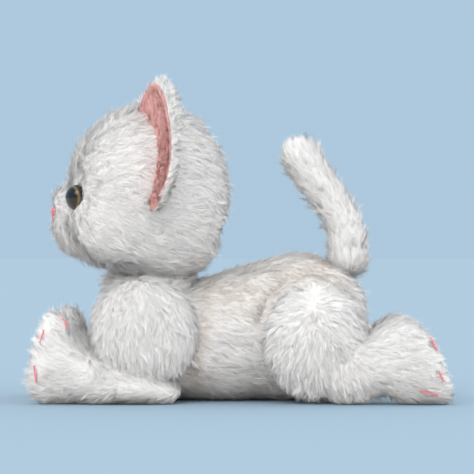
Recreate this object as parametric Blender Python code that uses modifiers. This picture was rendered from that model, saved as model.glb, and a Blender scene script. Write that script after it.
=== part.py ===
"""A plush kitten lying on its belly, with its head up and its tail raised.

It is built in metres, with +Z up. It faces -X and is the same on both sides of Y = 0, so its own
left side is at -Y. The origin is on the surface it lies on, under the middle of its length.
"""

import math

import bmesh
import bpy
from mathutils import Matrix, Vector
from mathutils.bvhtree import BVHTree

MM = 0.001
SLIVER = 0.000005  # points nearer than this, in metres, are joined after a cut
LEFT = -1
BOTH = (LEFT, 1)

# Driving sizes, in millimetres.
CLOTH = 3.0  # backing and base of the pile
GAP = 0.3  # between pieces that touch
FILL_GAP = 0.7  # between a filling and its cloth
FORE_END = -125.8  # front of the paws
HIND_END = 127.0  # end of the hind feet
RING = 8  # corners in a section of a limb's cage

HEAD_CENTRE = (-54.0, 0.0, 127.0)
HEAD_RADII = (54.0, 59.0, 56.0)
HEAD_GUSSET = 28.0  # width of the panel over the crown
MUZZLE_CENTRE = (-93.0, 0.0, 106.0)
MUZZLE_RADII = (23.5, 27.0, 23.5)
NOSE_RADII = (3.0, 5.5, 3.8)
NOSE_HEIGHT = 116.0
MOUTH_WIDTH = 16.0
THREAD = 0.7  # radius of embroidery

EYE_RADIUS = 8.0
EYE_DOME = 5.5
EYE_SHANK = 1.8  # radius
EYE_SHANK_LENGTH = 10.0
EYE_SPREAD = 30.0  # from the middle of the face
EYE_HEIGHT = 122.0
WASHER_RADIUS = 6.0
WASHER = 1.6  # thickness

EAR_TIP = (-47.0, -55.0, 196.0)
EAR_TOP_ROOT = (-58.0, -24.0, 176.0)
EAR_LOW_ROOT = (-44.0, -66.0, 122.0)
EAR_CLOTH = 2.4
EAR_SWING = 10.0  # degrees each way

NECK_CENTRE = (-54.0, 0.0, 68.0)
NECK_RADIUS = 22.0
NECK_GAP = 0.5  # running room round the neck
NECK_BAND = (58.0, 78.0)  # heights between which the neck has a fabric tube

TORSO_BOTTOM = 0.0
TORSO_WAIST = 46.0  # half width between the legs
LEG_PLANE = 34.0  # half width of the body where the legs lie against it
LEG_MIDDLE = 45.0  # from the middle of the body
TOE_SPREAD = 6.5  # between toe lines
LEG_OPENING = 14.0  # radius of the hole at the root of each leg's cover
SHOULDER = (-54.0, 42.0)  # x and z of the axis
SHOULDER_BAY = 41.0  # radius that the body leaves free for the shoulder
HIP = (46.0, 36.0)
HIP_BAY = 38.0
BELLY_SEAM = 14.0  # height of the seam round the belly panel

TAIL_ROOT = (66.0, 0.0, 90.0)
TAIL_BALL = 13.0  # radius of the tail's rounded root
TAIL_RADIUS = 12.5
TAIL_OPENING = 5.5  # radius of the hole at the root of its cover

WHITE = (0.86, 0.85, 0.83, 1.0)
PINK = (0.86, 0.36, 0.33, 1.0)
FILL = (0.95, 0.95, 0.95, 1.0)
BLACK = (0.015, 0.012, 0.01, 1.0)

parts = None


def start():
    """Empties the scene and makes the part's collection."""
    global parts
    for obj in list(bpy.data.objects):
        bpy.data.objects.remove(obj)
    parts = bpy.data.collections.new("plush_kitten")
    bpy.context.scene.collection.children.link(parts)


def material(name, colour, roughness):
    """A plain material with one colour."""
    found = bpy.data.materials.get(name)
    if found:
        return found
    made = bpy.data.materials.new(name)
    made.use_nodes = True
    shader = made.node_tree.nodes["Principled BSDF"]
    shader.inputs["Base Color"].default_value = colour
    shader.inputs["Roughness"].default_value = roughness
    shader.inputs["Metallic"].default_value = 0.0
    return made


def long_pile():
    return material("long_pile", WHITE, 0.9)


def pink_pile():
    return material("pink_pile", PINK, 0.9)


def filling():
    return material("filling", FILL, 0.95)


def thread_pink():
    return material("thread_pink", PINK, 0.6)


def moulded_eye():
    return material("moulded_eye", BLACK, 0.08)


def moulded_washer():
    return material("moulded_washer", FILL, 0.5)


# ---- Making and joining solids. Sizes here are in millimetres, and meshes in metres. ----


def add_mesh(name, mesh):
    """A new object in the part's collection."""
    obj = bpy.data.objects.new(name, mesh)
    parts.objects.link(obj)
    return obj


def from_bmesh(name, bm):
    """An object made from a bmesh in millimetres."""
    bmesh.ops.recalc_face_normals(bm, faces=bm.faces)
    bmesh.ops.scale(bm, vec=(MM, MM, MM), verts=bm.verts)
    mesh = bpy.data.meshes.new(name)
    bm.to_mesh(mesh)
    bm.free()
    return add_mesh(name, mesh)


def bake(obj):
    """Replaces an object by the mesh that its modifiers or its curve give."""
    depsgraph = bpy.context.evaluated_depsgraph_get()
    mesh = bpy.data.meshes.new_from_object(obj.evaluated_get(depsgraph))
    if obj.type == "MESH":
        obj.modifiers.clear()
        obj.data = mesh
        return obj
    name = obj.name
    place = obj.matrix_world.copy()
    bpy.data.objects.remove(obj)
    bm = bmesh.new()
    bm.from_mesh(mesh)
    bmesh.ops.transform(bm, matrix=place, verts=bm.verts)
    bmesh.ops.remove_doubles(bm, verts=bm.verts, dist=0.00001)
    bmesh.ops.recalc_face_normals(bm, faces=bm.faces)
    bm.to_mesh(mesh)
    bm.free()
    return add_mesh(name, mesh)


def boolean(target, tool, operation="DIFFERENCE"):
    """Cuts or limits one solid by another."""
    modifier = target.modifiers.new(operation.lower(), "BOOLEAN")
    modifier.operation = operation
    modifier.solver = "EXACT"
    modifier.object = tool
    bake(target)
    bm = bmesh.new()
    bm.from_mesh(target.data)
    bmesh.ops.remove_doubles(bm, verts=bm.verts, dist=SLIVER)
    bmesh.ops.dissolve_degenerate(bm, edges=bm.edges, dist=SLIVER)
    bm.to_mesh(target.data)
    bm.free()
    bpy.data.objects.remove(tool)
    return target


def ball(name, centre, radii, segments=18, rings=10):
    """An ellipsoid."""
    bm = bmesh.new()
    bmesh.ops.create_uvsphere(bm, u_segments=segments, v_segments=rings, radius=1.0)
    bmesh.ops.scale(bm, vec=radii, verts=bm.verts)
    bmesh.ops.translate(bm, vec=centre, verts=bm.verts)
    return from_bmesh(name, bm)


def block(name, low, high):
    """A box between two corners."""
    bm = bmesh.new()
    bmesh.ops.create_cube(bm, size=1.0)
    size = [high[i] - low[i] for i in range(3)]
    middle = [(high[i] + low[i]) / 2 for i in range(3)]
    bmesh.ops.scale(bm, vec=size, verts=bm.verts)
    bmesh.ops.translate(bm, vec=middle, verts=bm.verts)
    return from_bmesh(name, bm)


def rod(name, start_point, end_point, radius, segments=16):
    """A cylinder between two points."""
    a = Vector(start_point)
    b = Vector(end_point)
    bm = bmesh.new()
    bmesh.ops.create_cone(
        bm, cap_ends=True, segments=segments, radius1=radius, radius2=radius, depth=(b - a).length
    )
    turn = Vector((0, 0, 1)).rotation_difference((b - a).normalized()).to_matrix().to_4x4()
    bmesh.ops.transform(bm, matrix=Matrix.Translation((a + b) / 2) @ turn, verts=bm.verts)
    return from_bmesh(name, bm)


def grown(radii, amount):
    """Radii with the same amount added to each."""
    return [r + amount for r in radii]


def soft_tube(name, stations, inset=0.0, upright=True, level=1):
    """A closed soft form through elliptical sections, from a coarse cage.

    A station is a centre (x, y, z), a half width along Y and a half height. The first and last
    stations are the form's two end points. Sections stand upright, or square to the path.
    """
    spread = 3.0 / (2.0 + math.cos(2 * math.pi / RING))  # the surface lies inside its cage
    centres = [Vector(s[0]) for s in stations]
    first = (centres[1] - centres[0]).normalized()
    last = (centres[-2] - centres[-1]).normalized()
    bm = bmesh.new()
    rings = []
    for i in range(1, len(stations) - 1):
        along = (centres[i + 1] - centres[i - 1]).normalized()
        up = Vector((0, 0, 1)) if upright else Vector((0, 1, 0)).cross(along).normalized()
        wide = max(stations[i][1] - inset, 0.5) * spread
        high = max(stations[i][2] - inset, 0.5) * spread
        ring = []
        for k in range(RING):
            angle = 2 * math.pi * k / RING
            offset = Vector((0, 1, 0)) * wide * math.cos(angle) + up * high * math.sin(angle)
            ring.append(bm.verts.new(centres[i] + offset))
        rings.append(ring)
    start_pole = bm.verts.new(centres[0] + first * inset)
    end_pole = bm.verts.new(centres[-1] + last * inset)
    for k in range(RING):
        n = (k + 1) % RING
        bm.faces.new((start_pole, rings[0][n], rings[0][k]))
        bm.faces.new((end_pole, rings[-1][k], rings[-1][n]))
        for a, b in zip(rings, rings[1:]):
            bm.faces.new((a[k], a[n], b[n], b[k]))
    obj = from_bmesh(name, bm)
    smooth = obj.modifiers.new("smooth", "SUBSURF")
    smooth.levels = level
    smooth.render_levels = level
    return bake(obj)


def flat_below(obj, height):
    """Cuts a solid off flat at a height."""
    low = [min((obj.matrix_world @ v.co)[i] for v in obj.data.vertices) / MM for i in range(3)]
    high = [max((obj.matrix_world @ v.co)[i] for v in obj.data.vertices) / MM for i in range(3)]
    tool = block("tool", [c - 10 for c in low], (high[0] + 10, high[1] + 10, height))
    return boolean(obj, tool)


def cover_of(name, form, openings):
    """A fabric cover: the form, less its hollow, less what opens it."""
    obj = form(name, 0.0)
    boolean(obj, form("hollow", CLOTH))
    for tool in openings:
        boolean(obj, tool)
    obj.data.materials.clear()
    obj.data.materials.append(long_pile())
    return obj


def finish(obj, look):
    """Gives a solid its material."""
    obj.data.materials.clear()
    obj.data.materials.append(look)
    return obj


def set_origin(obj, point):
    """Moves an object's origin, and not its shape, to a point on its joint's axis."""
    place = Vector(point) * MM
    obj.data.transform(Matrix.Translation(-place))
    obj.location = place


def other_side(obj):
    """The right-hand copy of a left-hand piece."""
    name = obj.name.replace("left", "right")
    bm = bmesh.new()
    bm.from_mesh(obj.data)
    bmesh.ops.scale(bm, vec=(1, -1, 1), verts=bm.verts)
    bmesh.ops.reverse_faces(bm, faces=bm.faces)
    mesh = bpy.data.meshes.new(name)
    bm.to_mesh(mesh)
    bm.free()
    mesh.materials.append(obj.data.materials[0])
    copy = add_mesh(name, mesh)
    copy.location = (obj.location.x, -obj.location.y, obj.location.z)
    return copy


# ---- Forms that pieces share ----


def head_form(name, inset):
    return ball(name, HEAD_CENTRE, grown(HEAD_RADII, -inset), segments=22, rings=13)


def muzzle_form(name, inset):
    return ball(name, MUZZLE_CENTRE, grown(MUZZLE_RADII, -inset))


def neck_ball(name, clearance):
    return ball(name, NECK_CENTRE, [NECK_RADIUS + clearance] * 3)


def tail_ball(name, clearance):
    return ball(name, TAIL_ROOT, [TAIL_BALL + clearance] * 3, segments=20, rings=12)


def section(x, low, high, half_width, y=0.0):
    """An upright section of a form that runs along X, from its lowest and highest points."""
    return ((x, y, (low + high) / 2), half_width, (high - low) / 2)


def torso_form(name, inset):
    """The body: low under the head, highest over the hips, with a bay beside each leg."""
    under = -3.0
    stations = [
        section(-94, 30, 30, 0),
        section(-88, 6, 62, 23),
        section(-76, under, 72, 31),
        section(-54, under, 61, 36),
        section(-24, under, 76, 42),
        section(2, under, 84, TORSO_WAIST),
        section(32, under, 92, 42),
        section(58, under, 89, 34),
        section(75, 2, 72, 27),
        section(82, 40, 40, 0),
    ]
    obj = soft_tube(name, stations, inset)
    for x, z, bay in ((*SHOULDER, SHOULDER_BAY), (*HIP, HIP_BAY)):
        for side in BOTH:
            near = (x, side * (LEG_PLANE - inset), z)
            far = (x, side * (TORSO_WAIST + 20), z)
            boolean(obj, rod("bay", near, far, bay + inset, 28))
    return flat_below(obj, TORSO_BOTTOM + inset)


def leg_form(name, stations, inset):
    """A left leg: a soft form kept outside the body's side and cut flat where it rests."""
    obj = soft_tube(name, stations, inset)
    reach = LEFT * (LEG_PLANE + GAP + inset)
    boolean(obj, block("tool", (-300, reach, -100), (300, 200, 300)))
    return flat_below(obj, TORSO_BOTTOM + inset)


def foreleg_form(name, inset):
    """Shoulder, forearm along the ground, and a paw that turns up."""
    y = LEFT * LEG_MIDDLE
    stations = [
        section(-18, 38, 38, 0, y),
        section(-26, 8, 66, 12, y),
        section(-46, -3, 78, 18, y),
        section(-74, -3, 80, 17, y),
        section(-89, -3, 60, 14, y),
        section(-96, -3, 32, 15, y),
        section(-107, -3, 62, 18, y),
        section(-121, -2, 48, 15, y),
        section(FORE_END - 3, 20, 20, 0, y),
    ]
    return leg_form(name, stations, inset)


def hind_leg_form(name, inset):
    """Thigh, shank and a foot that turns up."""
    y = LEFT * LEG_MIDDLE
    stations = [
        section(11, 36, 36, 0, y),
        section(18, 10, 62, 12, y),
        section(37, -3, 77, 20, y),
        section(62, -3, 72, 18, y),
        section(77, -3, 36, 15, y),
        section(90, -3, 54, 17, y),
        section(106, -3, 58, 18, y),
        section(121, -3, 34, 15, y),
        section(HIND_END + 2, 12, 12, 0, y),
    ]
    return leg_form(name, stations, inset)


def tail_form(name, inset):
    """A tail that rises from the rump and leans forward, with a ball for its root."""
    x, _, z = TAIL_ROOT
    radius = TAIL_RADIUS
    stations = [
        ((x, 0, z - 9), 0, 0),
        ((x, 0, z - 5), radius * 0.6, radius * 0.6),
        ((x - 1, 0, z + 6), radius * 1.04, radius * 1.04),
        ((x - 6, 0, z + 26), radius, radius),
        ((x - 20, 0, z + 46), radius * 1.04, radius * 1.04),
        ((x - 31, 0, z + 61), radius, radius),
        ((x - 35, 0, z + 68.5), 0, 0),
    ]
    obj = soft_tube(name, stations, inset, upright=False)
    return boolean(obj, tail_ball("root", -inset), "UNION")


# ---- Head ----


def eye_place(side):
    """Where an eye's flange lies on the head, and which way it looks."""
    centre = Vector(HEAD_CENTRE)
    radii = Vector(HEAD_RADII)
    y = side * EYE_SPREAD
    z = EYE_HEIGHT - centre.z
    x = -radii.x * math.sqrt(1 - (y / radii.y) ** 2 - (z / radii.z) ** 2)
    point = centre + Vector((x, y, z))
    normal = Vector((x / radii.x**2, y / radii.y**2, z / radii.z**2)).normalized()
    return point, normal


def turned(name, profile, place, steps=18):
    """A solid turned from a profile of (radius, height) that starts and ends on its axis."""
    bm = bmesh.new()
    verts = [bm.verts.new((r, 0, h)) for r, h in profile]
    for a, b in zip(verts, verts[1:]):
        bm.edges.new((a, b))
    bmesh.ops.scale(bm, vec=(MM, MM, MM), verts=bm.verts)
    mesh = bpy.data.meshes.new(name)
    bm.to_mesh(mesh)
    bm.free()
    obj = add_mesh(name, mesh)
    screw = obj.modifiers.new("turn", "SCREW")
    screw.axis = "Z"
    screw.steps = steps
    screw.render_steps = steps
    screw.use_merge_vertices = True
    screw.merge_threshold = 0.00001
    bake(obj)
    bm = bmesh.new()
    bm.from_mesh(obj.data)
    bmesh.ops.remove_doubles(bm, verts=bm.verts, dist=0.00001)
    bmesh.ops.recalc_face_normals(bm, faces=bm.faces)
    point, normal = place
    turn = Vector((0, 0, 1)).rotation_difference(normal).to_matrix().to_4x4()
    bmesh.ops.transform(bm, matrix=Matrix.Translation(point * MM) @ turn, verts=bm.verts)
    bm.to_mesh(obj.data)
    bm.free()
    return obj


def eye():
    """A moulded eye: a low dome with a flange and the shank that holds it."""
    seat = 0.9  # the head curves away under the flange
    profile = [(0.0, seat + EYE_DOME)]
    steps = 4
    for i in range(1, steps + 1):
        angle = 0.5 * math.pi * i / steps
        profile.append((EYE_RADIUS * math.sin(angle), seat + EYE_DOME * math.cos(angle)))
    profile.append((EYE_RADIUS - 0.6, GAP))
    profile.append((EYE_SHANK, GAP))
    profile.append((EYE_SHANK, -EYE_SHANK_LENGTH))
    profile.append((0.0, -EYE_SHANK_LENGTH))
    return finish(turned("eye_left", profile, eye_place(LEFT)), moulded_eye())


def eye_washer():
    """The lock washer on an eye's shank, against the inside of the cloth."""
    top = -CLOTH - 1.4  # the cloth curves towards it at its rim
    hole = EYE_SHANK + GAP
    profile = [
        (hole, top),
        (WASHER_RADIUS, top - 0.2),
        (WASHER_RADIUS, top - WASHER),
        (hole, top - WASHER),
        (hole, top),
    ]
    return finish(turned("eye_washer_left", profile, eye_place(LEFT)), moulded_washer())


def shank_hole(side, radius, depth):
    """What makes room for an eye's shank and washer."""
    point, normal = eye_place(side)
    return rod("hole", point + normal * 4, point - normal * depth, radius, 12)


def head_cover():
    """The head's cloth, with its neck opening and the eyes' holes."""
    tools = [neck_ball("opening", NECK_GAP)]
    for side in BOTH:
        tools.append(shank_hole(side, EYE_SHANK + GAP, 12))
    return cover_of("head_cover", head_form, tools)


def head_panels():
    """Two side panels and the gusset between them, cut from the head's cloth."""
    half = HEAD_GUSSET / 2
    edge = GAP / 2
    whole = head_cover()
    panel = add_mesh("head_side_left", whole.data.copy())
    boolean(panel, block("half", (-200, -100, 0), (100, -half - edge, 300)), "INTERSECT")
    other_side(finish(panel, long_pile()))
    boolean(
        whole,
        block("band", (-200, -half + edge, 0), (100, half - edge, 300)),
        "INTERSECT",
    )
    whole.name = "head_gusset"
    finish(whole, long_pile())


def head_stuffing():
    """The head's filling, with room for the neck and the eyes' fittings."""
    obj = head_form("head_stuffing", CLOTH + FILL_GAP)
    boolean(obj, neck_ball("neck", NECK_GAP))
    for side in BOTH:
        boolean(obj, shank_hole(side, WASHER_RADIUS + GAP, EYE_SHANK_LENGTH + GAP))
    return finish(obj, filling())


def muzzle():
    """The padded muzzle: its cover and its filling."""
    cover = muzzle_form("muzzle_cover", 0.0)
    boolean(cover, muzzle_form("hollow", CLOTH))
    boolean(cover, head_form("face", -GAP))
    for side in BOTH:
        boolean(cover, shank_hole(side, EYE_RADIUS + 1.0, 4))
    finish(cover, long_pile())
    pad = muzzle_form("muzzle_stuffing", CLOTH + FILL_GAP)
    boolean(pad, head_form("face", -GAP))
    finish(pad, filling())


def muzzle_point(y, z, out):
    """A point on the front of the muzzle, a distance out from it."""
    centre = Vector(MUZZLE_CENTRE)
    radii = Vector(grown(MUZZLE_RADII, out))
    share = 1 - (y / radii.y) ** 2 - ((z - centre.z) / radii.z) ** 2
    return Vector((centre.x - radii.x * math.sqrt(max(share, 0.0)), y, z))


def nose():
    """A small nose, stitched on the top of the muzzle's front."""
    point = muzzle_point(0.0, NOSE_HEIGHT, 0.0)
    obj = ball("nose", point, NOSE_RADII, segments=16, rings=10)
    boolean(obj, muzzle_form("muzzle", -GAP))
    return finish(obj, thread_pink())


def tube(name, points, radius, steps=1):
    """A thread or rod along points in millimetres, as a closed solid."""
    curve = bpy.data.curves.new(name, "CURVE")
    curve.dimensions = "3D"
    curve.bevel_depth = radius * MM
    curve.bevel_resolution = steps
    curve.use_fill_caps = True
    spline = curve.splines.new("POLY")
    spline.points.add(len(points) - 1)
    for p, point in zip(spline.points, points):
        p.co = (*(Vector(point) * MM), 1)
    obj = bpy.data.objects.new(name, curve)
    parts.objects.link(obj)
    return bake(obj)


def mouth():
    """The mouth line: two arcs that meet under the nose."""
    points = []
    steps = 14
    for i in range(steps + 1):
        y = MOUTH_WIDTH * (i / steps - 0.5)
        drop = 9.0 + 2.2 * abs(math.sin(2 * math.pi * y / MOUTH_WIDTH))
        points.append(muzzle_point(y, NOSE_HEIGHT - drop, THREAD + GAP))
    return finish(tube("mouth_stitch", points, THREAD), thread_pink())


# ---- Ears ----


def ear_axes():
    """The left ear's own axes: along its root, up to its tip, and out of its pink face."""
    top = Vector(EAR_TOP_ROOT)
    low = Vector(EAR_LOW_ROOT)
    tip = Vector(EAR_TIP)
    along = (top - low).normalized()
    middle = (top + low) / 2
    up = tip - middle
    up = (up - along * up.dot(along)).normalized()
    face = along.cross(up).normalized()
    if face.x > 0:
        face = -face
    return middle, along, up, face


def ear_outline():
    """The ear's outline in its own plane, from its low root round the tip to its top root."""
    middle, along, up, _ = ear_axes()
    flat = []
    for point in (EAR_LOW_ROOT, EAR_TIP, EAR_TOP_ROOT):
        off = Vector(point) - middle
        flat.append(Vector((off.dot(along), off.dot(up))))
    low, tip, top = flat
    low = low + Vector((0, -14))
    top = top + Vector((0, -14))
    bow = 7.0  # how far the edges belly out
    outline = [low]
    steps = 6
    for a, b in ((low, tip), (tip, top)):
        out = Vector((b - a).normalized().orthogonal())
        if out.dot(Vector((0, 1))) < 0:
            out = -out
        for i in range(1, steps + 1):
            share = i / steps
            outline.append(a.lerp(b, share) + out * bow * math.sin(math.pi * share))
    return outline


def ear_plate(name, near, far, inset):
    """A flat plate of the ear between two depths, cut to stand on the head as it folds."""
    middle, along, up, face = ear_axes()
    outline = ear_outline()
    centre = sum(outline, Vector((0, 0))) / len(outline)
    curve = bpy.data.curves.new(name, "CURVE")
    curve.dimensions = "2D"
    curve.fill_mode = "BOTH"
    curve.extrude = (far - near) / 2 * MM
    spline = curve.splines.new("POLY")
    spline.points.add(len(outline) - 1)
    for p, corner in zip(spline.points, outline):
        corner = corner + (centre - corner).normalized() * inset
        p.co = (corner.x * MM, corner.y * MM, 0, 1)
    spline.use_cyclic_u = True
    obj = bpy.data.objects.new(name, curve)
    parts.objects.link(obj)
    axes = Matrix((along, up, face)).transposed().to_4x4()
    if axes.determinant() < 0:
        axes = Matrix((along, up, -face)).transposed().to_4x4()
    depth = middle + face * (near + far) / 2
    obj.matrix_world = Matrix.Translation(depth * MM) @ axes
    bpy.context.view_layer.update()
    obj = bake(obj)
    for angle in (-EAR_SWING, 0.0, EAR_SWING):
        tool = head_form("head", -GAP - 0.1)
        turn = Matrix.Rotation(math.radians(angle), 4, along)
        tool.data.transform(Matrix.Translation(-middle * MM))
        tool.data.transform(turn)
        tool.data.transform(Matrix.Translation(middle * MM))
        boolean(obj, tool)
    set_origin(obj, middle)
    return obj


def ear():
    """An ear: its white back and its pink lining."""
    half = GAP / 2
    back = finish(ear_plate("ear_back_left", -half - EAR_CLOTH, -half, 0.0), long_pile())
    lining = finish(ear_plate("ear_lining_left", half, half + EAR_CLOTH, 1.5), pink_pile())
    return back, lining


# ---- Neck and body ----


def neck():
    """The neck: a filled ball that the head turns and nods on, with a fabric band."""
    low, high = NECK_BAND
    band = neck_ball("neck_tube", 0.0)
    boolean(band, neck_ball("hollow", -CLOTH))
    boolean(band, block("zone", (-100, -50, low), (0, 50, high)), "INTERSECT")
    finish(band, long_pile())
    core = finish(neck_ball("neck_stuffing", -CLOTH - FILL_GAP), filling())
    for obj in (band, core):
        set_origin(obj, NECK_CENTRE)


def torso():
    """The body's two side panels, its belly panel and its filling."""
    edge = GAP / 2
    whole = cover_of(
        "body_cover", torso_form, [neck_ball("opening", NECK_GAP), tail_ball("recess", GAP)]
    )
    panel = add_mesh("body_side_left", whole.data.copy())
    low = (-200, -100, BELLY_SEAM + edge)
    boolean(panel, block("half", low, (200, -edge, 200)), "INTERSECT")
    other_side(finish(panel, long_pile()))
    low = (-200, -100, -10)
    boolean(whole, block("base", low, (200, 100, BELLY_SEAM - edge)), "INTERSECT")
    whole.name = "belly_panel"
    finish(whole, long_pile())
    core = torso_form("body_stuffing", CLOTH + FILL_GAP)
    boolean(core, neck_ball("neck", NECK_GAP))
    boolean(core, tail_ball("tail", GAP))
    finish(core, filling())


# ---- Limbs and tail ----


def on_surface(form, points, out):
    """Points moved to the nearest place on a form, and out from it."""
    tree = BVHTree.FromObject(form, bpy.context.evaluated_depsgraph_get())
    place = form.matrix_world
    placed = []
    for point in points:
        near, normal, _, _ = tree.find_nearest(place.inverted() @ (Vector(point) * MM))
        placed.append((place @ near) / MM + normal * out)
    return placed


def toe_stitch(name, form, start_point, end_point):
    """One embroidered line on a paw."""
    steps = 4
    a = Vector(start_point)
    b = Vector(end_point)
    spread = [a.lerp(b, i / steps) for i in range(steps + 1)]
    points = on_surface(form, spread, THREAD + GAP + 0.1)
    return finish(tube(name, points, THREAD), thread_pink())


def leg(kind, form, axis, lines):
    """A leg's cover, filling and toe stitches, with their origins on the leg's axis."""
    x, z = axis
    root = LEFT * LEG_PLANE
    hole = rod("hole", (x, root, z), (x, root + LEFT * (CLOTH + 4), z), LEG_OPENING)
    cover = cover_of(kind + "_cover_left", form, [hole])
    core = finish(form(kind + "_stuffing_left", CLOTH + FILL_GAP), filling())
    toes = []
    for i, (a, b) in enumerate(lines):
        toes.append(toe_stitch(f"{kind}_toe_stitch_{i + 1}_left", cover, a, b))
    for obj in (cover, core, *toes):
        set_origin(obj, (x, root, z))
        other_side(obj)


def foreleg():
    """A foreleg, with three toe lines down the front of its paw."""
    lines = []
    for offset in (-TOE_SPREAD, 0.0, TOE_SPREAD):
        y = LEFT * (LEG_MIDDLE + offset)
        lines.append(((FORE_END - 6, y, 34), (FORE_END - 8, y, 20)))
    leg("foreleg", foreleg_form, SHOULDER, lines)


def hind_leg():
    """A hind leg, with three toe lines at the end of its foot."""
    lines = []
    for offset in (-TOE_SPREAD, 0.0, TOE_SPREAD):
        y = LEFT * (LEG_MIDDLE + offset)
        lines.append(((HIND_END + 4, y, 24), (HIND_END + 8, y, 11)))
    leg("hind_leg", hind_leg_form, HIP, lines)


def tail():
    """The tail's cover, open at its root, and its filling."""
    x, y, z = TAIL_ROOT
    opening = rod("opening", (x, y, z - 20), (x, y, z - 5), TAIL_OPENING)
    cover = cover_of("tail_cover", tail_form, [opening])
    core = finish(tail_form("tail_stuffing", CLOTH + FILL_GAP), filling())
    for obj in (cover, core):
        set_origin(obj, TAIL_ROOT)


def build():
    """Makes the whole kitten."""
    start()
    head_panels()
    head_stuffing()
    muzzle()
    nose()
    mouth()
    for obj in (eye(), eye_washer(), *ear()):
        other_side(obj)
    neck()
    torso()
    foreleg()
    hind_leg()
    tail()


build()
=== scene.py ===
"""The looks of the plush kitten: its furred skins, ears, eyes, nose and stitches, and the studio.

Sizes here are in millimetres until a mesh is made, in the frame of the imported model: +Z up, the
face looking along -X, and the kitten's left side at -Y.
"""

import math

import bmesh
import bpy
import numpy as np
from mathutils import Matrix, Vector
from mathutils.bvhtree import BVHTree
from mathutils.kdtree import KDTree


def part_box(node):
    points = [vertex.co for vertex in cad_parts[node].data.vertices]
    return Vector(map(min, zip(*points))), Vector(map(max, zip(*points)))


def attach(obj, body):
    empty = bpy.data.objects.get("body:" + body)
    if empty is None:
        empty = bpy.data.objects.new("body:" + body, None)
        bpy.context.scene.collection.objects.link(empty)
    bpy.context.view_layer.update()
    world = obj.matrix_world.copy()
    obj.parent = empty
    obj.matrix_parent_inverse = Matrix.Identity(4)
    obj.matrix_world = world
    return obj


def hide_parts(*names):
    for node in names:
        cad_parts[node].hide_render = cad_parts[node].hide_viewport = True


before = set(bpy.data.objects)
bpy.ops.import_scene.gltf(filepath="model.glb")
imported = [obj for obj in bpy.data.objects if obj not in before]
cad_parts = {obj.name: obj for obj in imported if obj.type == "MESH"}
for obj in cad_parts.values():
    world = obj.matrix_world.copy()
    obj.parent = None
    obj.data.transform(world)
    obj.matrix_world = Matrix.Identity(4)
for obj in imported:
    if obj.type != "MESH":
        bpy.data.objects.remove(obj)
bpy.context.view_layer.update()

MM = 0.001
LEFT = -1
SIDES = {"left": LEFT, "right": -LEFT}

# Places, in millimetres.
NECK = Vector((-54, 0, 68))
HEAD = Vector((-54, 0, 127))
NOSE = Vector((-113.2, 0, 115))
EAR_TIP = Vector((-47, -55, 196))
EAR_TOP_ROOT = Vector((-58, -24, 176))
EAR_LOW_ROOT = Vector((-44, -66, 122))
EAR_FOLD = 14.0
EAR_REACH = 0.75
HEAD_HALVES = np.array((51, 56, 53))
HIP_DIMPLE = Vector((45, -62, 51))
LEG_MIDDLE = 46.0
TOES = {
    "foreleg": (((-117, 14), (-117.5, 23)), ((-101, 44), (-104, 49)), ((-112, 43), (-114.5, 36))),
    "hind_leg": (((107.5, 10), (118, 7.5)), ((112, 38), (115.5, 31)), ((117, 20), (119.5, 14))),
}

# The eyes' domes: half their depth, and how far their middle sits behind the CAD eye's.
EYE_HALF_DEPTH = 6.8
EYE_SINK = 3.3

# Pink thread: its radius, in the nose's satin stitch and elsewhere, and how high it lies.
SATIN_RADIUS = 0.5
THREAD_RADIUS = 0.55
THREAD_RISE = 2.6

# Colours, linear.
BACKDROP = (0.42, 0.58, 0.72, 1.0)
FLOOR_BLUE = (0.262, 0.356, 0.436, 1.0)
# Root colours are darker than tip colours: painted shade deep in the pile, warm in the white coat and a
# deeper pink in the lining.
WHITE_TIP = np.array((0.935, 0.935, 0.94))
WARM_SHADED_ROOT = np.array((0.87, 0.85, 0.825))
# Painted shade, brown, in the creases over the thighs and behind the shoulders, where the backing also
# shows in the seams, and in folds, dimples and over the back.
SEAM_BROWN_AND_SHADE = np.array((0.66, 0.56, 0.47))
PINK_TIP = np.array((0.95, 0.55, 0.52))
PINK_SHADED_ROOT = np.array((0.91, 0.38, 0.35))

# Light. The sky is above a plain level, which would be about 1.
SKY_STRENGTH = 1.52
SUN_STRENGTH = 0.85
SUN_ANGLE = 35
SUN_FROM = Vector((-0.35, -0.85, 0.9))

# The camera, in metres and degrees: how far off, how wide a view, from where and at what.
CAMERA_DISTANCE = 1.8
CAMERA_WIDTH = 0.2875
CAMERA_SENSOR = 36.0
CAMERA_AZIMUTH = 1.5
CAMERA_ELEVATION = 0.4
CAMERA_TARGET = Vector((-0.0015, 0.0, 0.0985))


# ---- Materials ----


def new_material(name):
    """A material with its nodes and its shader."""
    made = bpy.data.materials.new(name)
    made.use_nodes = True
    nodes = made.node_tree.nodes
    return made, nodes, made.node_tree.links, nodes["Principled BSDF"]


def pile_material(name, sheen):
    """Hair: its colour comes from the strands, with the shade painted into them, a little uneven from
    place to place.
    """
    made, nodes, links, shader = new_material(name)
    tint = nodes.new("ShaderNodeAttribute")
    tint.attribute_name = "tint"
    cloud = nodes.new("ShaderNodeTexNoise")
    cloud.inputs["Scale"].default_value = 90.0
    cloud.inputs["Detail"].default_value = 3.0
    spread = nodes.new("ShaderNodeMapRange")
    spread.inputs["To Min"].default_value = 0.93
    spread.inputs["To Max"].default_value = 1.05
    mix = nodes.new("ShaderNodeVectorMath")
    mix.operation = "SCALE"
    links.new(cloud.outputs["Fac"], spread.inputs["Value"])
    links.new(tint.outputs["Color"], mix.inputs[0])
    links.new(spread.outputs["Result"], mix.inputs["Scale"])
    links.new(mix.outputs["Vector"], shader.inputs["Base Color"])
    shader.inputs["Roughness"].default_value = 0.75
    shader.inputs["Specular IOR Level"].default_value = 0.25
    shader.inputs["Sheen Weight"].default_value = sheen
    shader.inputs["Sheen Roughness"].default_value = 0.5
    return made


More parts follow.
